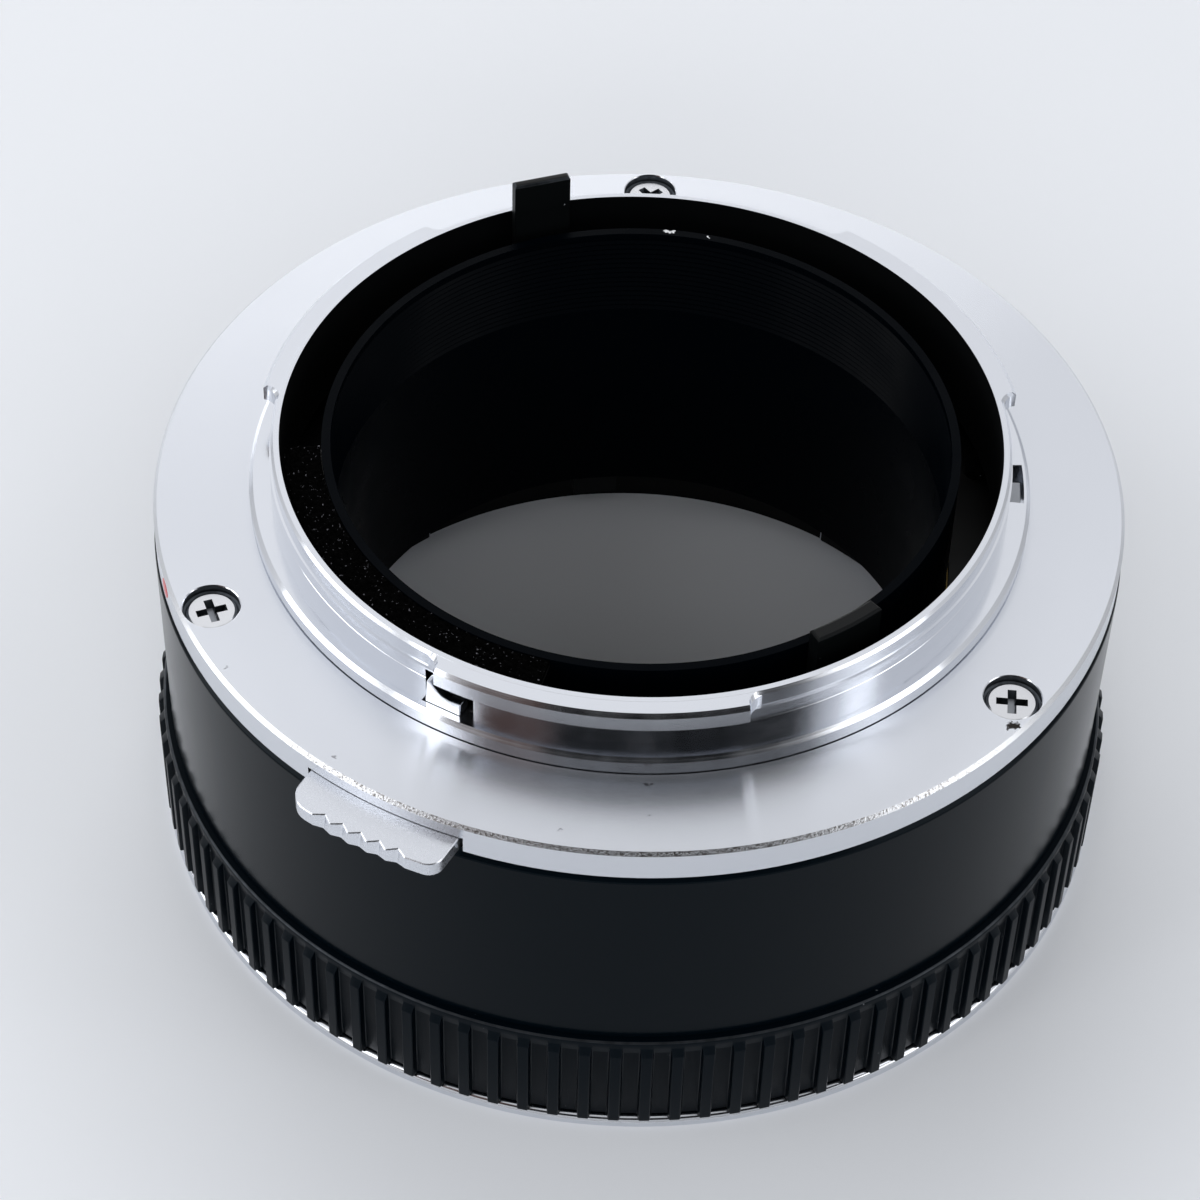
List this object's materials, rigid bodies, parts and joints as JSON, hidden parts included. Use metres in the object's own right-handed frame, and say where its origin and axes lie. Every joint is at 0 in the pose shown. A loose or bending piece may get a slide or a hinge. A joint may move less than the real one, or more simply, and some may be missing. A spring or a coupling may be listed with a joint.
{
  "type": "macro extension tube",
  "caption": "Round black macro extension tube with chrome bayonet mounts, ribbed grip, release tab and diaphragm coupling levers, for fitting between a lens and a camera.",
  "frame": {"origin": "on the optical axis at the lens-side seating face", "axes": "+Z along the optical axis from lens to camera, -Y towards the viewer of the picture"},
  "size_m": [0.0618, 0.0618, 0.0323],
  "materials": {
    "chrome_mount": "polished chrome plate with fine turning marks",
    "chrome_tab": "satin chrome plate",
    "screw_steel": "nickel-plated steel, bright",
    "hidden_steel": "plain steel",
    "spring_steel": "bright spring steel",
    "barrel_black": "satin black paint on aluminium",
    "grip_black": "semi-gloss black paint on aluminium",
    "tube_black": "black anodised, grooved against reflections",
    "lever_black": "blackened steel",
    "ring_brass": "plain turned brass",
    "plate_black": "black anodised sheet",
    "flock": "black flock with lint",
    "dot_red": "red enamel"
  },
  "bodies": {
    "tube": {"barrel": "barrel_black", "grip_ring": "grip_black", "rear_mount": "chrome_mount", "rear_mount_screws": "screw_steel", "bayonet_stop": "lever_black", "index_dot": "dot_red", "inner_tube": "tube_black", "flock_pad": "flock", "front_mount": "chrome_mount", "front_mount_screws": "screw_steel", "mount_leaf_springs": "spring_steel", "leaf_spring_screws": "hidden_steel", "light_trap_plate": "plate_black", "release_springs": "spring_steel", "slide_keeper": "hidden_steel", "keeper_screws": "hidden_steel", "ring_retainer": "plate_black", "retainer_screws": "hidden_steel", "diaphragm_spring": "spring_steel", "coupling_spring": "spring_steel", "spring_posts": "hidden_steel", "inner_tube_screws": "hidden_steel"},
    "release": {"release_slide": "chrome_tab", "lock_tongue": "chrome_tab"},
    "diaphragm": {"diaphragm_ring": "ring_brass", "diaphragm_lever": "lever_black", "diaphragm_pusher": "lever_black"},
    "coupling": {"coupling_ring": "ring_brass", "coupling_lever": "lever_black", "coupling_fork": "lever_black"}
  },
  "joints": [
    {"name": "release_push", "type": "slide", "parent": "tube", "child": "release", "axis": [0.4648, 0.8854, 0], "range_m": [0, 0.0014], "stiffness_N_per_m": 600, "springref_m": -0.0008, "deforming": ["release_springs"]},
    {"name": "diaphragm_turn", "type": "hinge", "parent": "tube", "child": "diaphragm", "pos_m": [0, 0, 0.017], "axis": [0, 0, 1], "range_deg": [0, 20], "stiffness_Nm_per_rad": 0.02, "springref_deg": -5.73, "deforming": ["diaphragm_spring"]},
    {"name": "coupling_turn", "type": "hinge", "parent": "tube", "child": "coupling", "pos_m": [0, 0, 0.017], "axis": [0, 0, 1], "range_deg": [0, 25], "stiffness_Nm_per_rad": 0.02, "springref_deg": -5.73, "deforming": ["coupling_spring"]}
  ]
}
